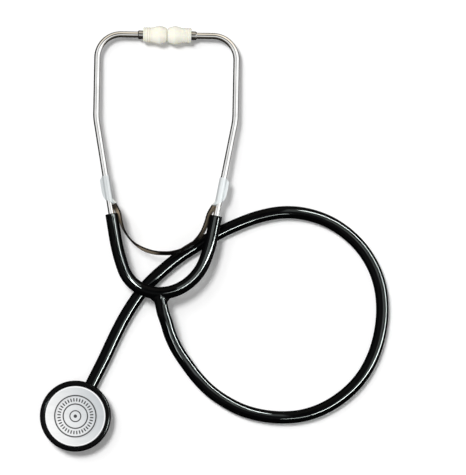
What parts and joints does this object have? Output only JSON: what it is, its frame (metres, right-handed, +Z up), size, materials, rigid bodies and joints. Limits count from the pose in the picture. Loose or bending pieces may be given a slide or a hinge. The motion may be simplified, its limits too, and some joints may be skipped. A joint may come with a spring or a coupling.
{
  "type": "single-head stethoscope",
  "caption": "Single-head stethoscope laid flat: round chestpiece with its diaphragm up, looped black tubing, a leaf spring and bright metal ear tubes with ivory eartips.",
  "frame": {"origin": "centre of the chestpiece's flat back, on the surface that the stethoscope lies on", "axes": "+Z up through the diaphragm, +Y from the chestpiece towards the eartips, +X towards the tubing's loop"},
  "size_m": [0.2441, 0.2981, 0.0208],
  "materials": {
    "black_tubing": "glossy",
    "bright_tube": "polished",
    "spring_steel": "polished",
    "pressed_steel": "satin",
    "ivory_plastic": "glossy",
    "turned_alloy": "satin",
    "diaphragm_face": "satin",
    "black_ring": "glossy"
  },
  "bodies": {
    "tubing": {"main_tube": "black_tubing", "tubing_wye": "black_tubing", "left_arm": "black_tubing", "right_arm": "black_tubing", "leaf_spring": "spring_steel"},
    "chestpiece": {"chestpiece_body": "turned_alloy", "chest_stem": "bright_tube", "diaphragm": "diaphragm_face"},
    "rim": {"retaining_ring": "black_ring"},
    "left_clip": {"left_spring_sleeve": "pressed_steel"},
    "right_clip": {"right_spring_sleeve": "pressed_steel"},
    "left_ear": {"left_ear_tube": "bright_tube", "left_tip_ferrule": "bright_tube"},
    "right_ear": {"right_ear_tube": "bright_tube", "right_tip_ferrule": "bright_tube"},
    "left_tip": {"left_eartip": "ivory_plastic"},
    "right_tip": {"right_eartip": "ivory_plastic"}
  },
  "joints": [
    {"name": "left_spread", "type": "hinge", "parent": "tubing", "child": "left_clip", "pos_m": [0.0398, 0.1239, 0.01385], "axis": [0.001, 0.0506, 0.9987], "range_deg": [0, 30], "stiffness_Nm_per_rad": 0.9, "springref_deg": -5.73, "deforming": ["left_arm", "leaf_spring"]},
    {"name": "right_spread", "type": "hinge", "parent": "tubing", "child": "right_clip", "pos_m": [0.0832, 0.123, 0.01385], "axis": [-0.001, -0.0506, -0.9987], "range_deg": [0, 30], "stiffness_Nm_per_rad": 0.9, "springref_deg": -5.73, "deforming": ["right_arm", "leaf_spring"]},
    {"name": "left_ear_tube_turn", "type": "hinge", "parent": "left_clip", "child": "left_ear", "pos_m": [0.02227, 0.16024, 0.01202], "axis": [-0.159, 0.986, -0.0498], "range_deg": [-30, 30]},
    {"name": "right_ear_tube_turn", "type": "hinge", "parent": "right_clip", "child": "right_ear", "pos_m": [0.10215, 0.15871, 0.01202], "axis": [0.1968, 0.9792, -0.0498], "range_deg": [-30, 30]},
    {"name": "left_eartip_turn", "type": "hinge", "parent": "left_ear", "child": "left_tip", "pos_m": [0.04427, 0.26692, 0.0066], "axis": [0.9998, -0.0192, 0], "continuous": true},
    {"name": "right_eartip_turn", "type": "hinge", "parent": "right_ear", "child": "right_tip", "pos_m": [0.08426, 0.26615, 0.0066], "axis": [0.9998, -0.0192, 0], "continuous": true},
    {"name": "chestpiece_swivel", "type": "hinge", "parent": "tubing", "child": "chestpiece", "pos_m": [0, 0, 0.0045], "axis": [0.4493, 0.8934, 0], "continuous": true},
    {"name": "ring_turn", "type": "hinge", "parent": "chestpiece", "child": "rim", "pos_m": [0, 0, 0.0108], "axis": [0, 0, 1], "continuous": true}
  ]
}
